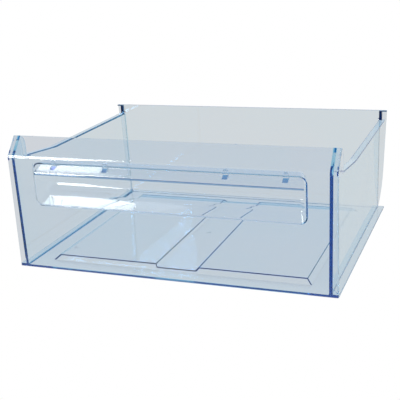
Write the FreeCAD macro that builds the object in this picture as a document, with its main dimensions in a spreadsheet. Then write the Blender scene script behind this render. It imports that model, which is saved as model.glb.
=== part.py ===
import FreeCAD, Part
import math
import os
import re
import Sketcher

# Freezer drawer of clear plastic, in millimetres.
# X runs to the right seen from the front, Y to the back and Z up.
# Each sub-part is drawn with Y = 0 on the front panel's outer face and Z = 0 under the drawer. Its
# placement then brings the origin to the middle of the drawer's base.

document = FreeCAD.newDocument("FreezerDrawer")
sheet = document.addObject("Spreadsheet::Sheet", "Dims")

DIMENSIONS = [
    ("drawerWidth", 455.0, "front panel, runners and side rims, outside"),
    ("drawerDepth", 353.0, "front face to the runners' rear ends"),
    ("runnerTail", 3.0, "runners' length behind the back wall"),
    ("panelThick", 2.4, "front panel's plate"),
    ("kneeHeight", 160.6, "where the upright plate turns into the leaning strip"),
    ("kneeRadius", 9.0, "outside rounding of the knee"),
    ("frontHeight", 184.9, "top edge of the leaning strip"),
    ("stripLean", 20.8, "how far the strip's top edge lies behind the front face"),
    ("cheekThick", 2.2, "end cheeks of the strip"),
    ("cheekReach", 33.0, "cheeks' rear edge behind the front face"),
    ("cheekDrop", 5.4, "cheeks' sloping top, from the strip's top edge down to where it would meet their rear edge"),
    ("cheekRadius", 19.5, "rounding of that corner"),
    ("earRadius", 15.0, "the same rounding on the ears of the tub's walls"),
    ("floorThick", 2.5, "tub's floor"),
    ("wallThick", 2.3, "tub's side walls"),
    ("backThick", 2.3, "tub's back wall"),
    ("cornerRadius", 3.0, "inside roundings between floor, walls and back"),
    ("runnerReach", 9.0, "runners' width outside the walls' feet"),
    ("runnerThick", 3.0, "runners"),
    ("gussetHeight", 9.0, "front gussets on the runners"),
    ("gussetThick", 1.6, "front gussets, front to back"),
    ("rimReach", 7.2, "rims' width outside the walls' tops"),
    ("rimThick", 2.0, "rims"),
    ("rimHeight", 145.7, "rims' top along the sides"),
    ("rimFrontHeight", 156.9, "rims' top where their line meets the front face"),
    ("rimRise", 112.0, "where the rims begin to rise, behind the front face"),
    ("rimBend", 160.0, "radius of that bend"),
    ("rimRadius", 3.0, "inside rounding from the walls onto the rims"),
    ("backHeight", 160.2, "top edge of the back wall"),
    ("backStep", 1.4, "back wall's thick part outside the walls' tops"),
    ("postWidth", 4.2, "posts at the back wall's ends above the rims, along the wall"),
    ("postInset", 0.8, "posts' inner faces inside the walls' outer faces"),
    ("postDepth", 6.5, "posts, front to back"),
    ("capThick", 1.6, "caps along the fins' tops"),
    ("capDepth", 4.5, "caps, front to back"),
    ("finThick", 1.7, "fins beside the back wall"),
    ("finReach", 3.1, "fins' top corners outside the drawer's width"),
    ("finBendInset", 2.8, "fins' bend inside the drawer's width"),
    ("finBendHeight", 33.0, "height of the fins' bend"),
    ("finRadius", 420.0, "rounding of the fins' bend"),
    ("platformMargin", 28.2, "flat margin between side walls and platform"),
    ("platformFront", 24.3, "flat margin between front panel and platform"),
    ("platformBack", 24.3, "flat margin between platform and back wall"),
    ("platformRise", 6.2, "platform above the margin"),
    ("platformBevel", 7.0, "width of the platform's sloping edges"),
    ("channelFoot", 27.5, "half-width of the channel at its bottom"),
    ("channelTop", 31.0, "half-width of the channel at the platform's top"),
    ("channelDepth", 3.5, "channel below the platform's top"),
    ("edgeSwell", 1.0, "how far the walls' front edges swell on each side, where the panel is welded on"),
    ("edgeTaper", 18.0, "length over which the swelling runs out"),
    ("seatGap", 0.15, "clearance between neighbouring parts that don't carry each other"),
    ("endRadius", 2.0, "rounding of the front panel's outer side edges"),
    ("windowHalf", 188.2, "grip window, half its width"),
    ("windowBottom", 94.3, "grip window's lower edge"),
    ("windowTop", 151.6, "grip window's upper edge"),
    ("windowRadius", 8.5, "grip window's lower corners and the recess's end roundings"),
    ("mouthRadius", 0.8, "rounding from the front face into the recess"),
    ("scoopDepth", 26.0, "finger recess, from the panel's back to its rear wall"),
    ("scoopThick", 1.7, "shell of the recess"),
    ("ledgeDepth", 17.0, "gentle slope of the recess's bottom, front to back"),
    ("ledgeRise", 9.2, "height that the gentle slope gains"),
    ("heelRise", 13.0, "height of the steeper heel behind it"),
    ("scoopDraft", 17.0, "lean of the recess's end walls, in degrees"),
    ("scoopRadius", 10.0, "rounding between the recess's ledge, heel, rear wall and ceiling"),
    ("barHalf", 186.6, "grip bar, half its length"),
    ("barProud", 2.0, "bar's rim in front of the panel's face"),
    ("barFoot", 140.7, "height where the bar's inclined face turns down into its rim"),
    ("barRun", 12.0, "depth of the bar's inclined face, front to back"),
    ("barRise", 7.8, "height of the inclined face"),
    ("barNose", 6.0, "outside rounding between the face and the rim"),
    ("barThick", 2.0, "bar's plate"),
    ("barRim", 4.0, "rim that hangs from the bar's lower edge"),
    ("barRimThick", 1.6, "thickness of that rim"),
    ("hookInner", 84.0, "inner pair of snap hooks, from the middle"),
    ("hookOuter", 161.5, "outer pair of snap hooks, from the middle"),
    ("hookWidth", 7.0, "hooks' shoulders, along the bar"),
    ("hookDrop", 6.0, "hooks' roots below the bar's upper edge"),
    ("hookThick", 1.8, "hooks' tongues, front to back"),
    ("hookShoulder", 1.2, "shoulders round the tongues"),
    ("hookCatch", 0.9, "how far the barbs catch over the recess's ceiling"),
    ("hookBarb", 2.2, "height of the barbs"),
    ("slotGap", 0.3, "clearance of the tongues in their slots"),
]


def fillSheet():
    for row, (name, size, note) in enumerate(DIMENSIONS, start=1):
        sheet.set(f"A{row}", name)
        sheet.set(f"B{row}", str(size))
        sheet.setAlias(f"B{row}", name)
        sheet.set(f"C{row}", note)
    document.recompute()


fillSheet()


def value(expression):
    """Number that a sheet expression stands for, in millimetres or degrees."""
    result = sheet.evalExpression(str(expression))
    return float(getattr(result, "Value", result))


SIZE_NAMES = re.compile(r"\b(" + "|".join(row[0] for row in DIMENSIONS) + r")\b")


def bound(expression):
    """The same expression as an object of the document reads it."""
    return SIZE_NAMES.sub(r"Dims.\1", str(expression))


bodyShift = "(barProud - drawerDepth) / 2"


def newBody(name):
    """A body whose placement sets the origin under the middle of the drawer."""
    body = document.addObject("PartDesign::Body", name)
    body.Label = name
    body.setExpression("Placement.Base.y", bound(bodyShift))
    document.recompute()
    return body


def originPlane(body, role):
    return next(plane for plane in body.Origin.OriginFeatures if plane.Role == role)


def newSketch(body, name, role, offset="0"):
    """A sketch on one of the body's origin planes, moved along the plane's normal."""
    sketch = body.newObject("Sketcher::SketchObject", name)
    sketch.AttachmentSupport = [(originPlane(body, role), "")]
    sketch.MapMode = "FlatFace"
    if offset != "0":
        sketch.setExpression("AttachmentOffset.Base.z", bound(offset))
    document.recompute()
    return sketch


def pin(sketch, geometry, position, across, up):
    """Ties a point of the sketch to two expressions of the sheet."""
    origin = -1
    for kind, expression in (("DistanceX", across), ("DistanceY", up)):
        number = value(expression)
        if abs(number) < 1e-9 and str(expression) == "0":
            axis = -2 if kind == "DistanceX" else -1
            sketch.addConstraint(Sketcher.Constraint("PointOnObject", geometry, position, axis))
            continue
        index = sketch.addConstraint(Sketcher.Constraint(kind, origin, 1, geometry, position, number))
        sketch.setExpression(f"Constraints[{index}]", bound(expression))


def tangentLength(before, corner, after, radius):
    """Distance from a corner to where its rounding starts."""
    incoming = (before - corner).normalize()
    outgoing = (after - corner).normalize()
    half = incoming.getAngle(outgoing) / 2
    return radius / math.tan(half)


def outline(sketch, corners):
    """Closed outline of straight lines with rounded corners, from (across, up, radius) expressions."""
    points = [FreeCAD.Vector(value(across), value(up), 0) for across, up, radius in corners]
    radii = [value(radius) if radius else 0.0 for across, up, radius in corners]
    count = len(corners)
    starts = []
    ends = []
    for i in range(count):
        before, corner, after = points[i - 1], points[i], points[(i + 1) % count]
        reach = tangentLength(before, corner, after, radii[i]) if radii[i] else 0.0
        ends.append(corner + (before - corner).normalize() * reach)
        starts.append(corner + (after - corner).normalize() * reach)
    lines = []
    for i in range(count):
        segment = Part.LineSegment(starts[i], ends[(i + 1) % count])
        lines.append(sketch.addGeometry(segment, False))
    for i in range(count):
        across, up, radius = corners[i]
        incoming, outgoing = lines[i - 1], lines[i]
        if not radius:
            sketch.addConstraint(Sketcher.Constraint("Coincident", incoming, 2, outgoing, 1))
            pin(sketch, outgoing, 1, across, up)
            continue
        inward = ((points[i - 1] - points[i]).normalize() + (points[(i + 1) % count] - points[i]).normalize())
        middle = points[i] + inward.normalize() * (
            math.hypot(radii[i], (starts[i] - points[i]).Length) - radii[i])
        round_ = sketch.addGeometry(Part.Arc(ends[i], middle, starts[i]), False)
        centre = sketch.Geometry[round_].Center
        counterclockwise = (ends[i] - centre).cross(starts[i] - centre).z > 0
        first, last = (1, 2) if counterclockwise else (2, 1)
        corner = sketch.addGeometry(Part.Point(points[i]), True)
        sketch.addConstraint(Sketcher.Constraint("Tangent", incoming, 2, round_, first))
        sketch.addConstraint(Sketcher.Constraint("Tangent", round_, last, outgoing, 1))
        sketch.addConstraint(Sketcher.Constraint("PointOnObject", corner, 1, incoming))
        sketch.addConstraint(Sketcher.Constraint("PointOnObject", corner, 1, outgoing))
        pin(sketch, corner, 1, across, up)
        index = sketch.addConstraint(Sketcher.Constraint("Radius", round_, radii[i]))
        sketch.setExpression(f"Constraints[{index}]", bound(radius))
    document.recompute()
    return lines


def rectangle(sketch, left, right, bottom, top):
    outline(sketch, [(left, bottom, None), (right, bottom, None), (right, top, None), (left, top, None)])


def pad(body, sketch, name, length, backward=False, middle=False, taper=None):
    """Solid that grows from a sketch; backward turns it against the sketch's normal."""
    feature = body.newObject("PartDesign::Pad", name)
    feature.Profile = sketch
    feature.setExpression("Length", bound(length))
    feature.Reversed = backward
    feature.Midplane = middle
    if taper:
        feature.setExpression("TaperAngle", bound(taper))
    sketch.Visibility = False
    document.recompute()
    return feature


def pocket(body, sketch, name, length, backward=False, middle=False, taper=None):
    """Cut that has to take material away."""
    before = body.Shape.Volume
    feature = body.newObject("PartDesign::Pocket", name)
    feature.Profile = sketch
    feature.setExpression("Length", bound(length))
    feature.Reversed = backward
    feature.Midplane = middle
    if taper:
        feature.setExpression("TaperAngle", bound(taper))
    document.recompute()
    if not body.Shape.Volume < before - 1:
        raise RuntimeError(name + " takes nothing away")
    return feature


def mirrored(body, features, name):
    """The same features on the drawer's other side."""
    feature = body.newObject("PartDesign::Mirrored", name)
    feature.Originals = features
    feature.MirrorPlane = (originPlane(body, "YZ_Plane"), [""])
    body.Tip = feature
    document.recompute()
    return feature


def edgesWhere(shape, *tests):
    """Names of the edges that pass the first test at three places and the others at their middle."""
    names = []
    for number, edge in enumerate(shape.Edges, start=1):
        first, last = edge.ParameterRange
        places = [edge.valueAt(first), edge.valueAt((first + last) / 2), edge.valueAt(last)]
        everywhere, *atMiddle = tests
        if all(everywhere(place) for place in places) and all(test(places[1]) for test in atMiddle):
            names.append(f"Edge{number}")
    return names


def facesWhere(shape, test):
    """Names of the faces whose centre passes a test of place."""
    return [f"Face{number}" for number, face in enumerate(shape.Faces, start=1) if test(face.CenterOfMass)]


def fillet(body, name, radius, *tests):
    """Rounds the edges of the body's last feature that pass the tests of place."""
    base = body.Tip
    names = edgesWhere(base.Shape, *tests)
    if not names:
        raise RuntimeError(name + " finds no edge")
    feature = body.newObject("PartDesign::Fillet", name)
    feature.Base = (base, names)
    feature.setExpression("Radius", bound(radius))
    document.recompute()
    return feature


# Places that several sub-parts share, as expressions of the sheet

halfWidth = "drawerWidth / 2"
wallFoot = "(drawerWidth / 2 - runnerReach)"
wallTop = "(drawerWidth / 2 - rimReach)"
backFace = "(drawerDepth - runnerTail)"
platformEdge = "(drawerWidth / 2 - runnerReach - wallThick - platformMargin)"
platformStart = "(panelThick + platformFront)"
platformEnd = "(drawerDepth - runnerTail - backThick - platformBack)"
platformTop = "(floorThick + platformRise)"
scoopBack = "(panelThick + scoopDepth)"
tongueFront = "(barRun - barProud)"
ceilingTop = "(windowTop + scoopThick)"
rimStart = "(cheekReach + seatGap)"
HOOKS = [("inner", "hookInner"), ("outer", "hookOuter")]


def rimLine(y):
    """Height of the rising front part of the rims at a distance behind the front face."""
    return f"(rimFrontHeight - (rimFrontHeight - rimHeight) * ({y}) / rimRise)"


stripRise = "(frontHeight - kneeHeight)"
stripLength = f"sqrt(stripLean ^ 2 + {stripRise} ^ 2)"
innerKnee = f"(kneeHeight - panelThick * tan(atan(stripLean / {stripRise}) / 2))"
stripBack = f"(stripLean + panelThick * {stripRise} / {stripLength})"
stripBackTop = f"(frontHeight - panelThick * stripLean / {stripLength})"
cheekShoulder = "(frontHeight - cheekDrop)"
shoulderRise = f"({cheekShoulder} - {rimLine('cheekReach')})"


def wallOutside(z):
    """Half-width of the side walls' outer faces at a height: they lean out a little."""
    return f"({wallFoot} + (runnerReach - rimReach) * ({z}) / rimFrontHeight)"


def wallInside(z):
    """Half-width of the side walls' inner faces at a height."""
    lean = f"(({z}) - floorThick) / (rimFrontHeight - floorThick)"
    return f"({wallFoot} - wallThick + (runnerReach - rimReach) * {lean})"


def tubWalls(tub):
    """Floor and side walls in one U section, cut along the rims' line."""
    section = newSketch(tub, "wallSection", "XZ_Plane", "-panelThick")
    inside = f"({wallFoot} - wallThick)"
    insideTop = f"({wallTop} - wallThick)"
    outline(section, [
        (f"-{wallFoot}", "0", None),
        (wallFoot, "0", None),
        (wallTop, "rimFrontHeight", None),
        (insideTop, "rimFrontHeight", None),
        (inside, "floorThick", "cornerRadius"),
        (f"-{inside}", "floorThick", "cornerRadius"),
        (f"-{insideTop}", "rimFrontHeight", None),
        (f"-{wallTop}", "rimFrontHeight", None),
    ])
    pad(tub, section, "walls", f"{backFace} - panelThick", backward=True)
    above = newSketch(tub, "aboveRims", "YZ_Plane")
    outline(above, [
        ("0", "rimFrontHeight", None),
        ("rimRise", "rimHeight", "rimBend"),
        ("drawerDepth", "rimHeight", None),
        ("drawerDepth", "frontHeight", None),
        ("0", "frontHeight", None),
    ])
    pocket(tub, above, "rimCut", "drawerWidth", middle=True)


def tubRims(tub):
    """Rims turned outwards along the tops of the side walls."""
    strip = newSketch(tub, "rimStrip", "YZ_Plane", f"{wallTop} - wallThick / 2")
    outline(strip, [
        ("panelThick", rimLine("panelThick"), None),
        ("panelThick", rimLine("panelThick") + " - rimThick", None),
        ("rimRise", "rimHeight - rimThick", "rimBend + rimThick"),
        (backFace, "rimHeight - rimThick", None),
        (backFace, "rimHeight", None),
        ("rimRise", "rimHeight", "rimBend"),
    ])
    rim = pad(tub, strip, "rim", "rimReach + wallThick / 2")
    mirrored(tub, [rim], "rims")


def rimFronts(tub):
    """The rims end behind the cheeks: their front ends come off outside the walls."""
    end = newSketch(tub, "rimEnd", "YZ_Plane", wallTop)
    low = f"{rimLine(rimStart)} - 2 * rimThick"
    outline(end, [
        ("0", low, None),
        (rimStart, low, None),
        (rimStart, "frontHeight", None),
        ("0", "frontHeight", None),
    ])
    cut = pocket(tub, end, "rimEndCut", "drawerWidth", backward=True)
    mirrored(tub, [cut], "rimEndCuts")


def tubBack(tub):
    """Back wall with a thin fin standing out past each side wall."""
    plate = newSketch(tub, "backPlate", "XZ_Plane", f"-({backFace} - backThick)")
    outline(plate, [
        (f"-{wallFoot}", "0", None),
        (wallFoot, "0", None),
        (f"{wallTop} + backStep", "backHeight", None),
        (f"-({wallTop} + backStep)", "backHeight", None),
    ])
    pad(tub, plate, "back", "backThick", backward=True)
    edge = newSketch(tub, "finEdge", "XZ_Plane", f"-({backFace} - finThick)")
    outline(edge, [
        (f"{wallFoot} - wallThick / 2", "0", None),
        (wallFoot, "0", None),
        (f"{halfWidth} - finBendInset", "finBendHeight", "finRadius"),
        (f"{halfWidth} + finReach", "backHeight", None),
        (wallTop, "backHeight", None),
    ])
    fin = pad(tub, edge, "fin", "finThick", backward=True)
    mirrored(tub, [fin], "fins")


def tubRunners(tub):
    """Runner flanges along the feet of the walls, each with a gusset at its front end."""
    section = newSketch(tub, "runnerSection", "XZ_Plane", "-panelThick")
    rectangle(section, f"{wallFoot} - wallThick / 2", halfWidth, "0", "runnerThick")
    runner = pad(tub, section, "runner", "drawerDepth - panelThick", backward=True)
    mirrored(tub, [runner], "runners")
    web = newSketch(tub, "gussetWeb", "XZ_Plane", "-panelThick")
    outline(web, [
        (f"{wallFoot} - wallThick / 2", "runnerThick / 2", None),
        (halfWidth, "runnerThick / 2", None),
        (halfWidth, "runnerThick", None),
        (wallOutside("runnerThick + gussetHeight"), "runnerThick + gussetHeight", None),
        (f"{wallFoot} - wallThick / 2", "runnerThick + gussetHeight", None),
    ])
    gusset = pad(tub, web, "gusset", "gussetThick", backward=True)
    mirrored(tub, [gusset], "gussets")


def tubPlatform(tub):
    """Raised platform pressed up from the floor, with a shallow channel along its middle."""
    bevel = "-atan(platformBevel / platformRise)"
    foot = newSketch(tub, "platformFoot", "XY_Plane", "floorThick")
    rectangle(foot, f"-{platformEdge}", platformEdge, platformStart, platformEnd)
    pad(tub, foot, "platform", "platformRise", taper=bevel)
    slope = "sqrt(platformBevel ^ 2 + platformRise ^ 2) / platformRise"
    shrink = f"(floorThick * ({slope} - platformBevel / platformRise))"
    under = newSketch(tub, "platformUnder", "XY_Plane")
    rectangle(under, f"-({platformEdge} - {shrink})", f"{platformEdge} - {shrink}",
              f"{platformStart} + {shrink}", f"{platformEnd} - {shrink}")
    pocket(tub, under, "hollow", "platformRise", backward=True, taper=bevel)
    inset = "platformBevel * (platformRise - floorThick) / platformRise"
    belly = newSketch(tub, "channelBelly", "XZ_Plane", f"-({platformStart} + {inset})")
    outline(belly, [
        ("-(channelFoot + floorThick / 2)", "platformRise - channelDepth", None),
        ("channelFoot + floorThick / 2", "platformRise - channelDepth", None),
        ("channelTop + floorThick / 2", "platformRise", None),
        ("-(channelTop + floorThick / 2)", "platformRise", None),
    ])
    pad(tub, belly, "belly", f"{platformEnd} - {platformStart} - 2 * {inset}", backward=True)
    groove = newSketch(tub, "channelGroove", "XZ_Plane", f"-{platformStart}")
    outline(groove, [
        ("-channelFoot", f"{platformTop} - channelDepth", None),
        ("channelFoot", f"{platformTop} - channelDepth", None),
        ("channelTop", platformTop, None),
        ("channelTop", f"{platformTop} + channelDepth", None),
        ("-channelTop", f"{platformTop} + channelDepth", None),
        ("-channelTop", platformTop, None),
    ])
    pocket(tub, groove, "channel", f"{platformEnd} - {platformStart}")


def tubRoundings(tub):
    """Roundings from the walls onto the rims and along the inside corners of the back."""
    insideTop = value(f"{wallTop} - wallThick")
    backInside = value(f"{backFace} - backThick")
    lean = value("runnerReach - rimReach")
    rimTop = value("rimHeight")
    near = 0.05

    def onRim(place):
        across = insideTop - abs(place.x)
        return -near < across < lean and place.z > rimTop - near and place.y < backInside + near

    def inBackCorner(place):
        return (abs(place.y - backInside) < near and place.z < rimTop + near
                and abs(place.x) < insideTop + near)

    fillet(tub, "rimRounding", "rimRadius", onRim)
    fillet(tub, "backRounding", "cornerRadius", inBackCorner)


def tubEdges(tub):
    """Walls' front edges, swollen on both sides where the front panel is welded on."""
    low = "floorThick / 2"
    high = rimLine("panelThick")
    section = newSketch(tub, "edgeSection", "XZ_Plane", "-panelThick")
    outline(section, [
        (f"{wallInside(low)} - edgeSwell", low, None),
        (f"{wallOutside(low)} + edgeSwell", low, None),
        (f"{wallOutside(high)} + edgeSwell", high, None),
        (f"{wallInside(high)} - edgeSwell", high, None),
    ])
    runOut = "-atan((edgeSwell + seatGap) / edgeTaper)"
    edge = pad(tub, section, "edge", "edgeTaper", backward=True, taper=runOut)
    mirrored(tub, [edge], "edges")


def tubEars(tub):
    """Walls' front ends carried on above the rims, up behind the leaning strip, as thick as their edges."""
    web = newSketch(tub, "earWeb", "YZ_Plane", f"{wallTop} - wallThick - edgeSwell")
    outline(web, [
        ("panelThick", rimLine("panelThick") + " - rimThick", None),
        ("cheekReach", rimLine("cheekReach") + " - rimThick", None),
        ("cheekReach", cheekShoulder, f"min(earRadius; {shoulderRise})"),
        (stripBack, stripBackTop, None),
        ("panelThick", innerKnee, "kneeRadius - panelThick"),
    ])
    ear = pad(tub, web, "ear", "wallThick + 2 * edgeSwell")
    mirrored(tub, [ear], "ears")


def tubPosts(tub):
    """Posts at the back wall's ends above the rims, and caps along the fins' tops."""
    section = newSketch(tub, "postSection", "XZ_Plane", f"-({backFace} - postDepth)")
    inner = f"({wallTop} - postInset)"
    rectangle(section, inner, f"{inner} + postWidth", "rimHeight - rimThick", "backHeight")
    post = pad(tub, section, "post", "postDepth", backward=True)
    ledge = newSketch(tub, "capSection", "XZ_Plane", f"-({backFace} - capDepth)")
    rectangle(ledge, wallTop, f"{halfWidth} + finReach", "backHeight - capThick", "backHeight")
    cap = pad(tub, ledge, "cap", "capDepth", backward=True)
    mirrored(tub, [post, cap], "postsAndCaps")


def makeTub():
    tub = newBody("tub")
    tubWalls(tub)
    tubRims(tub)
    tubBack(tub)
    tubRunners(tub)
    tubPlatform(tub)
    tubRoundings(tub)
    rimFronts(tub)
    tubEdges(tub)
    tubEars(tub)
    tubPosts(tub)
    return tub


def panelPlate(panel):
    """Upright plate that bends at the knee into a strip leaning back."""
    profile = newSketch(panel, "plateProfile", "YZ_Plane")
    outline(profile, [
        ("0", "0", None),
        ("panelThick", "0", None),
        ("panelThick", innerKnee, "kneeRadius - panelThick"),
        (stripBack, stripBackTop, None),
        ("stripLean", "frontHeight", None),
        ("0", "kneeHeight", "kneeRadius"),
    ])
    pad(panel, profile, "plate", "drawerWidth", middle=True)


def panelCheeks(panel):
    """End cheeks that close the strip in front of the rims."""
    web = newSketch(panel, "cheekWeb", "YZ_Plane", f"{halfWidth} - cheekThick")
    outline(web, [
        ("panelThick / 2", rimLine("panelThick") + " - rimThick", None),
        ("panelThick", rimLine("panelThick") + " - rimThick", None),
        ("cheekReach", rimLine("cheekReach") + " - rimThick", None),
        ("cheekReach", cheekShoulder, f"min(cheekRadius; {shoulderRise})"),
        ("stripLean", "frontHeight", None),
        ("panelThick / 2", "kneeHeight", None),
    ])
    cheek = pad(panel, web, "cheek", "cheekThick")
    mirrored(panel, [cheek], "cheeks")


def panelWindow(panel):
    """Window in front of the finger recess."""
    opening = newSketch(panel, "windowOpening", "XZ_Plane")
    outline(opening, [
        ("-windowHalf", "windowBottom", "windowRadius"),
        ("windowHalf", "windowBottom", "windowRadius"),
        ("windowHalf", "windowTop", None),
        ("-windowHalf", "windowTop", None),
    ])
    pocket(panel, opening, "window", "panelThick")


def leanCut(body, half, front, low, high):
    """Cuts a long piece's right end on the slant that the recess's end walls have."""
    slant = newSketch(body, "endSlant", "XY_Plane", low)
    outline(slant, [
        (half, front, None),
        (f"{half} + scoopDepth", front, None),
        (f"{half} + scoopDepth", f"{front} + 2 * scoopDepth", None),
        (f"{half} - 2 * scoopDepth * tan(scoopDraft * 1 deg)", f"{front} + 2 * scoopDepth", None),
    ])
    return pocket(body, slant, "endCut", f"{high} - ({low})", backward=True)


def scoopCavity(scoop):
    """Hollow of the recess as a solid: a bottom that slopes up to the back, and leaning end walls."""
    profile = newSketch(scoop, "cavityProfile", "YZ_Plane")
    outline(profile, [
        ("panelThick", "windowBottom", None),
        ("panelThick + ledgeDepth", "windowBottom + ledgeRise", "scoopRadius"),
        (scoopBack, "windowBottom + ledgeRise + heelRise", "scoopRadius"),
        (scoopBack, "windowTop", "scoopRadius"),
        ("panelThick", "windowTop", None),
    ])
    pad(scoop, profile, "cavity", "2 * windowHalf", middle=True)
    cut = leanCut(scoop, "windowHalf", "panelThick", "windowBottom", "windowTop")
    mirrored(scoop, [cut], "ends")


def scoopBox(name, along, width, front, depth, bottom, height):
    """Cutting block for the recess, placed as the bodies are."""
    block = document.addObject("Part::Box", name)
    for side, size in (("Length", width), ("Width", depth), ("Height", height)):
        block.setExpression(side, bound(size))
    block.setExpression("Placement.Base.x", bound(f"{along} - {width} / 2"))
    block.setExpression("Placement.Base.y", bound(f"{front} + {bodyShift}"))
    block.setExpression("Placement.Base.z", bound(bottom))
    return block


def makeRecess():
    """Finger recess: a shell open to the front, with a slot in its ceiling for each hook."""
    hollow = newBody("recessHollow")
    scoopCavity(hollow)
    lowEnd = value("windowBottom")
    ceiling = value("windowTop")
    deepHalf = value("windowHalf - scoopDepth * tan(scoopDraft * 1 deg)")
    front = value("panelThick")
    near = 0.05

    def onEndWall(place):
        return abs(place.x) > deepHalf - near

    def awayFromMouth(place):
        return lowEnd + near < place.z < ceiling - near and place.y > front + near

    fillet(hollow, "endRounding", "windowRadius", onEndWall, awayFromMouth)
    mouth = facesWhere(hollow.Tip.Shape, lambda place: abs(place.y - front) < near)
    shell = document.addObject("Part::Thickness", "recessShell")
    shell.Faces = (hollow, mouth)
    shell.setExpression("Value", bound("scoopThick"))
    cuts = [scoopBox("mouthTrim", "0", "drawerWidth", "-2 * scoopThick", "(2 * scoopThick + panelThick)",
                     "0", "frontHeight")]
    width = "(hookWidth - 2 * hookShoulder + 2 * slotGap)"
    for place, along in HOOKS:
        for side, sign in (("Right", ""), ("Left", "-")):
            cuts.append(scoopBox(f"{place}Slot{side}", sign + along, width, f"({tongueFront} - slotGap)",
                                 "(hookThick + 2 * slotGap)", "windowTop - scoopThick", "3 * scoopThick"))
    tools = document.addObject("Part::MultiFuse", "recessCuts")
    tools.Shapes = cuts
    document.recompute()
    recess = document.addObject("Part::Cut", "recess")
    recess.Base = shell
    recess.Tool = tools
    document.recompute()
    if not recess.Shape.Volume < shell.Shape.Volume:
        raise RuntimeError("the recess isn't cut")
    return recess


def makeFrontPanel():
    """Plate, strip and cheeks in one moulding with the finger recess."""
    plate = newBody("panelBody")
    panelPlate(plate)
    panelCheeks(plate)
    panelWindow(plate)
    joined = document.addObject("Part::MultiFuse", "panelWithRecess")
    joined.Shapes = [plate, makeRecess()]
    joined.Refine = True
    document.recompute()
    panel = document.addObject("PartDesign::Body", "front_panel")
    panel.Label = "front_panel"
    panel.BaseFeature = joined
    document.recompute()
    face = value(bodyShift)
    low = value("windowBottom")
    high = value("windowTop")
    near = 0.05

    def onMouth(place):
        return abs(place.y - face) < near and low - near < place.z < high + near

    half = value(halfWidth)
    knee = value("kneeHeight")
    lean = value(f"stripLean / {stripRise}")
    bulge = value("kneeRadius") * (1 / math.cos(math.atan(lean) / 2) - 1)

    def onOuterEdge(place):
        front = face + max(0.0, place.z - knee) * lean
        return abs(abs(place.x) - half) < near and place.y < front + bulge + 2 * near

    fillet(panel, "mouthRounding", "mouthRadius", onMouth)
    fillet(panel, "endRoundings", "endRadius", onOuterEdge)
    return panel


def barPlate(bar):
    """Inclined face with a rim hanging from its lower edge."""
    slant = "sqrt(barRun ^ 2 + barRise ^ 2)"
    profile = newSketch(bar, "barProfile", "YZ_Plane")
    outline(profile, [
        ("-barProud", "barFoot - barRim", None),
        ("barRimThick - barProud", "barFoot - barRim", None),
        ("barRimThick - barProud",
         f"barFoot - barThick * {slant} / barRun + barRimThick * barRise / barRun", "barNose - barThick"),
        (f"{tongueFront} + barThick * barRise / {slant}",
         f"barFoot + barRise - barThick * barRun / {slant}", None),
        (tongueFront, "barFoot + barRise", None),
        ("-barProud", "barFoot", "barNose"),
    ])
    pad(bar, profile, "plate", "2 * barHalf", middle=True)
    cut = leanCut(bar, "barHalf", "-barProud", "barFoot - 2 * barRim", "windowTop")
    mirrored(bar, [cut], "ends")


def barHooks(bar):
    """Snap hooks behind the bar: shoulders under the recess's ceiling and barbed tongues through it."""
    root = "(barFoot + barRise - hookDrop)"
    rootFront = f"({tongueFront} - hookDrop * barRun / barRise)"
    tongueBack = f"({tongueFront} + hookThick)"
    catch = f"({ceilingTop} + seatGap)"
    parts = []
    for place, along in HOOKS:
        shoulder = newSketch(bar, place + "ShoulderProfile", "YZ_Plane", along)
        outline(shoulder, [
            (f"{rootFront} + barThick / 2", root, None),
            (f"{tongueBack} + hookShoulder", root, None),
            (f"{tongueBack} + hookShoulder", "windowTop", None),
            (f"{tongueFront} - hookShoulder", "windowTop", None),
            (f"{tongueFront} - hookShoulder", "barFoot + barRise - 2 * hookShoulder", None),
        ])
        parts.append(pad(bar, shoulder, place + "Shoulder", "hookWidth", middle=True))
        tongue = newSketch(bar, place + "TongueProfile", "YZ_Plane", along)
        outline(tongue, [
            (tongueFront, "windowTop - hookShoulder", None),
            (tongueBack, "windowTop - hookShoulder", None),
            (tongueBack, catch, None),
            (f"{tongueBack} + slotGap + hookCatch", catch, None),
            (f"{tongueFront} + hookThick / 2", f"{catch} + hookBarb", None),
            (tongueFront, f"{catch} + hookBarb", None),
        ])
        parts.append(pad(bar, tongue, place + "Tongue", "hookWidth - 2 * hookShoulder", middle=True))
    mirrored(bar, parts, "hooks")


def makeGripBar():
    bar = newBody("grip_bar")
    barPlate(bar)
    barHooks(bar)
    return bar


def finish(bodies):
    """Checks every object and writes each sub-part to its own file."""
    document.recompute()
    for thing in document.Objects:
        if "Invalid" in thing.State or "Error" in thing.State:
            raise RuntimeError(thing.Name + " is not computed")
    os.makedirs("parts", exist_ok=True)
    for body in bodies:
        if body.Shape.isNull() or not body.Shape.isValid():
            raise RuntimeError(body.Label + " has no valid shape")
        body.Shape.exportStep(f"parts/{body.Label}.step")
        box = body.Shape.BoundBox
        size = f"{box.XLength:.1f} x {box.YLength:.1f} x {box.ZLength:.1f}"
        print(body.Label, len(body.Shape.Solids), "solid", f"{body.Shape.Volume:.0f} mm3", size)


finish([makeTub(), makeFrontPanel(), makeGripBar()])
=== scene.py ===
import math

import bpy
from mathutils import Matrix, Vector


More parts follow.
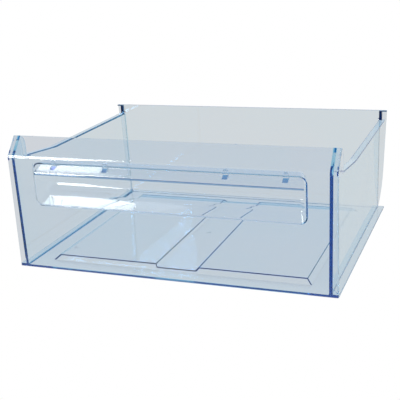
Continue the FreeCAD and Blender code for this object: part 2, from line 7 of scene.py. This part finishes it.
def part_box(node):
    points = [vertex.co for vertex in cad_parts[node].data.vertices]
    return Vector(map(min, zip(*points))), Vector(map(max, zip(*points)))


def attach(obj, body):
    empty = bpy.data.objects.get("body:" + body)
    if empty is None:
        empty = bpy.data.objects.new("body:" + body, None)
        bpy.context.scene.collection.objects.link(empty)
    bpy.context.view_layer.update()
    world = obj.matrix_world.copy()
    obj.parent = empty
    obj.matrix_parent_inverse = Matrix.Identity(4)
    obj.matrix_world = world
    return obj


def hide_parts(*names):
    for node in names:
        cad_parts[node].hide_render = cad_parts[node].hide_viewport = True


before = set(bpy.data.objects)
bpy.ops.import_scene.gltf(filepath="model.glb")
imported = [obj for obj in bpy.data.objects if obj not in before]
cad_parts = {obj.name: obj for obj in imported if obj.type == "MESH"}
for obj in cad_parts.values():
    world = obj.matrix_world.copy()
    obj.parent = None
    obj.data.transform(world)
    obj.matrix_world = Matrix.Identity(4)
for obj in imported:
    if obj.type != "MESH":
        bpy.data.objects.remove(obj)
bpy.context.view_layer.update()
print("frame loaded:", ", ".join(sorted(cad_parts)))

mm = 0.001
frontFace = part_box("front_panel")[0][1]    # the front panel's outer face
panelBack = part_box("tub")[0][1]            # the panel's back, which the tub's front edges touch
seam = 0.12 * mm                           # air left where two clear pieces meet

meshSettings = {"weldWithin": 0.01 * mm, "flatWithin": math.radians(0.2), "roundWithin": math.radians(32),
                "flatFacesWeigh": 100}


def takeUp(piece):
    if bpy.context.object and bpy.context.object.mode != "OBJECT":
        bpy.ops.object.mode_set(mode="OBJECT")
    bpy.ops.object.select_all(action="DESELECT")
    piece.select_set(True)
    bpy.context.view_layer.objects.active = piece


def dressedCopy(node, pieceName):
    # the CAD node's own shape, welded, with its flat faces whole again
    piece = bpy.data.objects.new(pieceName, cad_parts[node].data.copy())
    piece.data.name = pieceName
    bpy.context.scene.collection.objects.link(piece)
    takeUp(piece)
    bpy.ops.mesh.customdata_custom_splitnormals_clear()
    bpy.ops.object.mode_set(mode="EDIT")
    bpy.ops.mesh.select_all(action="SELECT")
    bpy.ops.mesh.remove_doubles(threshold=meshSettings["weldWithin"])
    bpy.ops.mesh.dissolve_limited(angle_limit=meshSettings["flatWithin"])
    bpy.ops.object.mode_set(mode="OBJECT")
    return piece


def shiftVertices(piece, isMeant, by):
    takeUp(piece)
    bpy.ops.object.mode_set(mode="EDIT")
    bpy.ops.mesh.select_mode(type="VERT")
    bpy.ops.mesh.select_all(action="DESELECT")
    bpy.ops.object.mode_set(mode="OBJECT")
    for vertex in piece.data.vertices:
        vertex.select = isMeant(vertex.co)
    bpy.ops.object.mode_set(mode="EDIT")
    bpy.ops.transform.translate(value=by)
    bpy.ops.object.mode_set(mode="OBJECT")


def smoothRoundings(piece):
    # flat faces stay flat in the shading, and only the roundings turn
    takeUp(piece)
    bpy.ops.object.shade_smooth_by_angle(angle=meshSettings["roundWithin"])
    weigh = piece.modifiers.new("weigh", "WEIGHTED_NORMAL")
    weigh.keep_sharp = True
    weigh.weight = meshSettings["flatFacesWeigh"]
    bpy.ops.object.modifier_apply(modifier="weigh")


def finishPiece(piece, node, material):
    smoothRoundings(piece)
    piece.data.materials.clear()
    piece.data.materials.append(material)
    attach(piece, "root")
    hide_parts(node)
    print("piece done:", piece.name, len(piece.data.polygons), "faces")


def paintShadeOrLight(piece, material, isMeant):
    # chosen narrow faces get a darker copy of the plastic as painted shade, or a paler copy as painted light
    piece.data.materials.append(material)
    slotIndex = len(piece.data.materials) - 1
    count = 0
    for face in piece.data.polygons:
        if isMeant(face.center):
            face.material_index = slotIndex
            count += 1
    print(material.name, "on", piece.name, count, "faces")


# sockets of a colour Mix node, by index
mixFactor = 0
mixFrom = 6
mixTo = 7
mixResult = 2


def addNode(tree, kind, place, **values):
    node = tree.nodes.new(kind)
    node.location = place
    for key, value in values.items():
        if key in node.inputs:
            node.inputs[key].default_value = value
        else:
            setattr(node, key, value)
    return node


def addRange(tree, place, source, limits):
    node = addNode(tree, "ShaderNodeMapRange", place)
    node.inputs["From Min"].default_value, node.inputs["From Max"].default_value = limits
    tree.links.new(source, node.inputs["Value"])
    return node


def addColorMix(tree, place, factor):
    node = addNode(tree, "ShaderNodeMix", place, data_type="RGBA")
    tree.links.new(factor, node.inputs[mixFactor])
    return node


def answerRay(tree, rayKind, meant, others, target):
    # one shader answers one kind of ray, and another all the rest
    path = addNode(tree, "ShaderNodeLightPath", (0, 400))
    choice = addNode(tree, "ShaderNodeMixShader", (300, 0))
    tree.links.new(path.outputs[rayKind], choice.inputs["Fac"])
    tree.links.new(others, choice.inputs[1])
    tree.links.new(meant, choice.inputs[2])
    tree.links.new(choice.outputs["Shader"], target)


def emptyTree(owner):
    owner.use_nodes = True
    owner.node_tree.nodes.clear()
    return owner.node_tree


# flow is the slow drift over a moulding, and grain its fine unevenness
mouldSurfaceSettings = {"flowScale": 9.0, "flowDetail": 2.0, "flowRange": (0.35, 0.65),
                        "grainScale": 260.0, "grainDetail": 3.0, "grainRange": (0.3, 0.75)}
mouldSurfaceInputs = (("Tint", "NodeSocketColor", (1, 1, 1, 1)), ("Cloud", "NodeSocketColor", (1, 1, 1, 1)),
                      ("Smooth", "NodeSocketFloat", 0.02), ("Hazy", "NodeSocketFloat", 0.08))
mouldSurfaceOutputs = (("Color", "NodeSocketColor"), ("Roughness", "NodeSocketFloat"),
                       ("Height", "NodeSocketFloat"))


def makeMouldSurface():
    # colour drift, roughness and a faint height of clear moulded plastic
    group = bpy.data.node_groups.new("mouldSurface", "ShaderNodeTree")
    for name, kind, value in mouldSurfaceInputs:
        socket = group.interface.new_socket(name=name, in_out="INPUT", socket_type=kind)
        socket.default_value = value
    for name, kind in mouldSurfaceOutputs:
        group.interface.new_socket(name=name, in_out="OUTPUT", socket_type=kind)
    link = group.links.new
    start = addNode(group, "NodeGroupInput", (-900, 0))
    end = addNode(group, "NodeGroupOutput", (500, 0))
    where = addNode(group, "ShaderNodeTexCoord", (-1100, -200))
    flow = addNode(group, "ShaderNodeTexNoise", (-700, -100), Scale=mouldSurfaceSettings["flowScale"],
                   Detail=mouldSurfaceSettings["flowDetail"])
    grain = addNode(group, "ShaderNodeTexNoise", (-700, -400), Scale=mouldSurfaceSettings["grainScale"],
                    Detail=mouldSurfaceSettings["grainDetail"])
    link(where.outputs["Object"], flow.inputs["Vector"])
    link(where.outputs["Object"], grain.inputs["Vector"])
    drift = addRange(group, (-450, 0), flow.outputs["Fac"], mouldSurfaceSettings["flowRange"])
    tint = addColorMix(group, (-200, 150), drift.outputs["Result"])
    link(start.outputs["Tint"], tint.inputs[mixFrom])
    link(start.outputs["Cloud"], tint.inputs[mixTo])
    rough = addRange(group, (-200, -150), grain.outputs["Fac"], mouldSurfaceSettings["grainRange"])
    link(start.outputs["Smooth"], rough.inputs["To Min"])
    link(start.outputs["Hazy"], rough.inputs["To Max"])
    link(tint.outputs[mixResult], end.inputs["Color"])
    link(rough.outputs["Result"], end.inputs["Roughness"])
    link(flow.outputs["Fac"], end.inputs["Height"])
    return group


mouldSurface = makeMouldSurface()

# edge is the absorption colour: what long ways through the plastic leave over
clearPlastics = {
    "clearTub": {"tint": (0.92, 0.955, 0.985, 1), "cloud": (0.935, 0.955, 0.985, 1),
                 "shine": (0.2, 0.5, 0.9, 1), "edge": (0.0, 0.72, 0.90, 1), "density": 30.0,
                 "smooth": 0.01, "hazy": 0.05, "wave": 0.05},
    "clearFront": {"tint": (0.90, 0.945, 0.985, 1), "cloud": (0.915, 0.945, 0.985, 1),
                   "shine": (0.75, 0.88, 1, 1), "edge": (0.05, 0.57, 0.85, 1), "density": 8.0,
                   "smooth": 0.01, "hazy": 0.04, "wave": 0.04},
    "clearBar": {"tint": (0.92, 0.955, 0.985, 1), "cloud": (0.935, 0.955, 0.985, 1),
                 "shine": (0.75, 0.88, 1, 1), "edge": (0.05, 0.57, 0.85, 1), "density": 8.0,
                 "smooth": 0.01, "hazy": 0.04, "wave": 0.04},
    # painted shade: a darker copy of the clear plastic, laid on the grip bar's rim
    "softPaintedShade": {"tint": (0.42, 0.58, 0.74, 1), "cloud": (0.48, 0.62, 0.78, 1),
                 "shine": (0.4, 0.65, 0.95, 1), "edge": (0.05, 0.57, 0.85, 1), "density": 8.0,
                 "smooth": 0.02, "hazy": 0.08, "wave": 0.05},
    # painted shade: a deep blue copy of the clear plastic, laid on the back wall's posts and caps so their
    # edges look dark
    "deepPaintedShade": {"tint": (0.10, 0.32, 0.62, 1), "cloud": (0.14, 0.40, 0.72, 1),
                 "shine": (0.2, 0.5, 0.9, 1), "edge": (0.05, 0.57, 0.85, 1), "density": 26.0,
                 "smooth": 0.02, "hazy": 0.08, "wave": 0.05},
    # painted light: a paler, nearly clear copy of the plastic, laid on the mouth's rounding and the bar's
    # hooks to lift dark lines there
    "palePaintedLight": {"tint": (0.96, 0.975, 0.99, 1), "cloud": (0.965, 0.98, 0.99, 1),
                 "shine": (0.75, 0.88, 1, 1), "edge": (0.6, 0.8, 0.95, 1), "density": 1.0,
                 "smooth": 0.02, "hazy": 0.08, "wave": 0.05},
}
plasticSettings = {"ior": 1.53, "waveDepth": 2 * mm, "shadowTint": (0.93, 0.95, 0.97, 1)}


def makeClearPlastic(name):
    look = clearPlastics[name]
    material = bpy.data.materials.new(name)
    tree = emptyTree(material)
    link = tree.links.new
    out = addNode(tree, "ShaderNodeOutputMaterial", (600, 0))
    body = addNode(tree, "ShaderNodeBsdfPrincipled", (0, 0))
    body.inputs["Transmission Weight"].default_value = 1.0
    body.inputs["IOR"].default_value = plasticSettings["ior"]
    body.inputs["Specular Tint"].default_value = look["shine"]
    surface = addNode(tree, "ShaderNodeGroup", (-400, 0))
    surface.node_tree = mouldSurface
    for socketName in ("Tint", "Cloud", "Smooth", "Hazy"):
        surface.inputs[socketName].default_value = look[socketName.lower()]
    bump = addNode(tree, "ShaderNodeBump", (-200, -250), Strength=look["wave"],
                   Distance=plasticSettings["waveDepth"])
    link(surface.outputs["Color"], body.inputs["Base Color"])
    link(surface.outputs["Roughness"], body.inputs["Roughness"])
    link(surface.outputs["Height"], bump.inputs["Height"])
    link(bump.outputs["Normal"], body.inputs["Normal"])
    # light falls through to what lies behind instead of leaving a dark shadow
    letThrough = addNode(tree, "ShaderNodeBsdfTransparent", (0, 200), Color=plasticSettings["shadowTint"])
    answerRay(tree, "Is Shadow Ray", letThrough.outputs["BSDF"], body.outputs["BSDF"], out.inputs["Surface"])
    inside = addNode(tree, "ShaderNodeVolumeAbsorption", (300, -200), Color=look["edge"],
                     Density=look["density"])
    link(inside.outputs["Volume"], out.inputs["Volume"])
    return material


materials = {name: makeClearPlastic(name) for name in clearPlastics}
print("materials done:", ", ".join(materials))


# shallow round marks that the mould's pins left on the floor
pinMarks = {"radius": 3.2 * mm, "depth": 0.35 * mm, "sides": 40,
            "places": ((-4.7, -5.0, 5.2), (-4.9, -74.7, 5.2), (-170.2, -114.5, 8.7))}


def sinkPinMarks(piece):
    for place in pinMarks["places"]:
        bpy.ops.object.select_all(action="DESELECT")
        bpy.ops.mesh.primitive_cylinder_add(vertices=pinMarks["sides"], radius=pinMarks["radius"],
                                            depth=2 * pinMarks["depth"],
                                            location=[along * mm for along in place])
        pin = bpy.context.object
        takeUp(piece)
        sink = piece.modifiers.new("sink", "BOOLEAN")
        sink.operation = "DIFFERENCE"
        sink.solver = "EXACT"
        sink.object = pin
        bpy.ops.object.modifier_apply(modifier="sink")
        bpy.data.objects.remove(pin, do_unlink=True)
    print("pin marks sunk:", len(pinMarks["places"]))


# ears are the walls' front ends behind the leaning strip, posts stand at the back wall's ends
tubSettings = {"edgeWithin": 0.05 * mm, "earFoot": 154 * mm, "earDepth": 23.5 * mm,
               "postFront": 166 * mm, "postFoot": 147 * mm, "postInside": 217 * mm}


def meetsPanel(at):
    onEdge = at.y < panelBack + tubSettings["edgeWithin"]
    onEar = at.z > tubSettings["earFoot"] and at.y < frontFace + tubSettings["earDepth"]
    return onEdge or onEar


def isPostOrCap(at):
    return (at.y > tubSettings["postFront"] and at.z > tubSettings["postFoot"]
            and abs(at.x) > tubSettings["postInside"])


def makeTub():
    tub = dressedCopy("tub", "tubShell")
    sinkPinMarks(tub)
    shiftVertices(tub, meetsPanel, (0, seam, 0))
    finishPiece(tub, "tub", materials["clearTub"])
    # the posts and their caps get painted shade in deep blue
    paintShadeOrLight(tub, materials["deepPaintedShade"], isPostOrCap)


# the rounding from the front face into the recess, at the mouth's top and upper sides
frontSettings = {"roundingFrom": 0.01 * mm, "roundingTo": 0.85 * mm, "mouthLow": 134 * mm,
                 "mouthHigh": 153 * mm, "mouthHalf": 190 * mm}


def isMouthRounding(at):
    return (frontSettings["roundingFrom"] < at.y - frontFace < frontSettings["roundingTo"]
            and frontSettings["mouthLow"] < at.z < frontSettings["mouthHigh"]
            and abs(at.x) < frontSettings["mouthHalf"])


def makeFront():
    front = dressedCopy("front_panel", "frontPlate")
    finishPiece(front, "front_panel", materials["clearFront"])
    # the mouth's rounding gets painted light, paler than the plate
    paintShadeOrLight(front, materials["palePaintedLight"], isMouthRounding)


# hooks are given by their places to both sides of the middle
barSettings = {"ceiling": 151.6 * mm, "ceilingWithin": 0.02 * mm, "rimTop": 138.6 * mm,
               "hookFoot": 142.4 * mm, "hookHalf": 3.6 * mm, "hookPlaces": (84.0 * mm, 161.5 * mm)}


def meetsCeiling(at):
    return abs(at.z - barSettings["ceiling"]) < barSettings["ceilingWithin"]


def isBarRim(at):
    return at.z < barSettings["rimTop"]


def isHook(at):
    beside = min(abs(abs(at.x) - place) for place in barSettings["hookPlaces"])
    return at.z > barSettings["hookFoot"] and beside < barSettings["hookHalf"]


def makeBar():
    bar = dressedCopy("grip_bar", "gripBar")
    shiftVertices(bar, meetsCeiling, (0, 0, -seam))
    finishPiece(bar, "grip_bar", materials["clearBar"])
    # the bar's rim gets painted shade, a darker line along its foot
    paintShadeOrLight(bar, materials["softPaintedShade"], isBarRim)
    # the hooks get painted light, paler than the bar
    paintShadeOrLight(bar, materials["palePaintedLight"], isHook)


makeTub()
makeFront()
makeBar()


# the camera sees floor and room white, and the plastic sees them darker and bluer
stageSettings = {"seenColor": (1, 1, 1, 1), "floorHeight": -0.4 * mm, "floorSize": 8.0,
                 "floorThrough": (0.73, 0.73, 0.73, 1), "floorMirrored": (0.06, 0.18, 0.36, 1),
                 "stripEdge": (frontFace - 60 * mm, frontFace - 15 * mm),
                 "nearHorizon": (0.5, 0.6, 0.72, 1), "farHorizon": (0.78, 0.83, 0.88, 1),
                 "horizonTurn": (0.0, 0.7), "zenith": (0.2, 0.32, 0.52, 1), "skyRise": (0.05, 0.8)}


def makeFloor():
    bpy.ops.object.select_all(action="DESELECT")
    bpy.ops.mesh.primitive_plane_add(size=stageSettings["floorSize"],
                                     location=(0, 0, stageSettings["floorHeight"]))
    floor = bpy.context.object
    floor.name = "studioFloor"
    bpy.ops.object.transform_apply(location=True, rotation=True, scale=True)
    material = bpy.data.materials.new("studioPaper")
    tree = emptyTree(material)
    link = tree.links.new
    out = addNode(tree, "ShaderNodeOutputMaterial", (600, 0))
    # mirror images show a dark strip before the drawer, and all else shows bright paper
    path = addNode(tree, "ShaderNodeLightPath", (-600, 300))
    where = addNode(tree, "ShaderNodeTexCoord", (-1000, -100))
    split = addNode(tree, "ShaderNodeSeparateXYZ", (-800, -100))
    link(where.outputs["Object"], split.inputs["Vector"])
    behind = addRange(tree, (-600, -100), split.outputs["Y"], stageSettings["stripEdge"])
    either = addNode(tree, "ShaderNodeMath", (-400, 100), operation="MAXIMUM")
    link(behind.outputs["Result"], either.inputs[0])
    link(path.outputs["Is Transmission Ray"], either.inputs[1])
    shade = addColorMix(tree, (-200, -100), either.outputs["Value"])
    shade.inputs[mixFrom].default_value = stageSettings["floorMirrored"]
    shade.inputs[mixTo].default_value = stageSettings["floorThrough"]
    paper = addNode(tree, "ShaderNodeEmission", (0, -100), Strength=1.0)
    link(shade.outputs[mixResult], paper.inputs["Color"])
    seen = addNode(tree, "ShaderNodeEmission", (0, 100), Color=stageSettings["seenColor"], Strength=1.0)
    answerRay(tree, "Is Camera Ray", seen.outputs["Emission"], paper.outputs["Emission"],
              out.inputs["Surface"])
    floor.data.materials.append(material)


def makeWorld():
    world = bpy.data.worlds.new("studio")
    bpy.context.scene.world = world
    tree = emptyTree(world)
    link = tree.links.new
    out = addNode(tree, "ShaderNodeOutputWorld", (600, 0))
    where = addNode(tree, "ShaderNodeTexCoord", (-1000, -100))
    split = addNode(tree, "ShaderNodeSeparateXYZ", (-800, -100))
    link(where.outputs["Generated"], split.inputs["Vector"])
    behind = addRange(tree, (-600, 100), split.outputs["Y"], stageSettings["horizonTurn"])
    horizon = addColorMix(tree, (-400, 100), behind.outputs["Result"])
    horizon.inputs[mixFrom].default_value = stageSettings["nearHorizon"]
    horizon.inputs[mixTo].default_value = stageSettings["farHorizon"]
    height = addRange(tree, (-600, -150), split.outputs["Z"], stageSettings["skyRise"])
    sky = addColorMix(tree, (-200, -100), height.outputs["Result"])
    sky.inputs[mixTo].default_value = stageSettings["zenith"]
    link(horizon.outputs[mixResult], sky.inputs[mixFrom])
    room = addNode(tree, "ShaderNodeBackground", (0, -100), Strength=1.0)
    link(sky.outputs[mixResult], room.inputs["Color"])
    seen = addNode(tree, "ShaderNodeBackground", (0, 100), Color=stageSettings["seenColor"], Strength=1.0)
    answerRay(tree, "Is Camera Ray", seen.outputs["Background"], room.outputs["Background"],
              out.inputs["Surface"])


# size is the width and height of a box's cloth, glow its brightness, and seenThrough says whether rays
# that go through the plastic see it
lampColor = (1.0, 0.87, 0.74)
softboxes = {
    "ledgeBox": {"at": (-0.82, 0.06, 1.25), "aim": (-0.12, -0.15, 0.12), "size": (0.36, 0.30),
                 "glow": 8.0, "seenThrough": True},
    "ledgeFill": {"at": (-0.60, 0.15, 1.33), "aim": (-0.10, -0.15, 0.12), "size": (0.20, 0.20),
                  "glow": 1.2, "seenThrough": True},
    "frontBox": {"at": (-0.82, -1.085, 0.52), "aim": (-0.15, -0.175, 0.155), "size": (0.36, 0.80),
                 "glow": 18.0, "seenThrough": False},
}


def makeSoftbox(name):
    box = softboxes[name]
    light = bpy.data.lights.new(name, "AREA")
    light.shape = "RECTANGLE"
    light.size, light.size_y = box["size"]
    light.energy = box["glow"] * math.pi * light.size * light.size_y
    light.color = lampColor
    lamp = bpy.data.objects.new(name, light)
    bpy.context.scene.collection.objects.link(lamp)
    lamp.visible_transmission = box["seenThrough"]
    lamp.location = box["at"]
    lamp.rotation_mode = "QUATERNION"
    lamp.rotation_quaternion = (Vector(box["aim"]) - Vector(box["at"])).to_track_quat("-Z", "Y")


cameraSettings = {"at": (0.416278, -1.083988, 0.432405), "turn": 0.381381, "down": 0.312852,
                  "roll": -0.057325, "lens": 73.546, "sensor": 36.0, "near": 0.01, "far": 50.0}


def makeCamera():
    data = bpy.data.cameras.new("photoCamera")
    data.lens = cameraSettings["lens"]
    data.sensor_width = cameraSettings["sensor"]
    data.clip_start = cameraSettings["near"]
    data.clip_end = cameraSettings["far"]
    camera = bpy.data.objects.new("photoCamera", data)
    bpy.context.scene.collection.objects.link(camera)
    turn = (Matrix.Rotation(cameraSettings["turn"], 4, "Z")
            @ Matrix.Rotation(math.pi / 2 - cameraSettings["down"], 4, "X")
            @ Matrix.Rotation(cameraSettings["roll"], 4, "Z"))
    camera.matrix_world = Matrix.Translation(cameraSettings["at"]) @ turn
    bpy.context.scene.camera = camera


# light goes through many clear walls before it is lost
rayBounces = 96
clearLayers = 32


def setLightPaths():
    scene = bpy.context.scene
    scene.view_settings.view_transform = "Standard"
    scene.cycles.use_denoising = True
    scene.cycles.max_bounces = rayBounces
    scene.cycles.glossy_bounces = rayBounces
    scene.cycles.transmission_bounces = rayBounces
    scene.cycles.transparent_max_bounces = clearLayers
    scene.cycles.caustics_reflective = False


makeFloor()
makeWorld()
for name in softboxes:
    makeSoftbox(name)
makeCamera()
setLightPaths()
print("stage done")
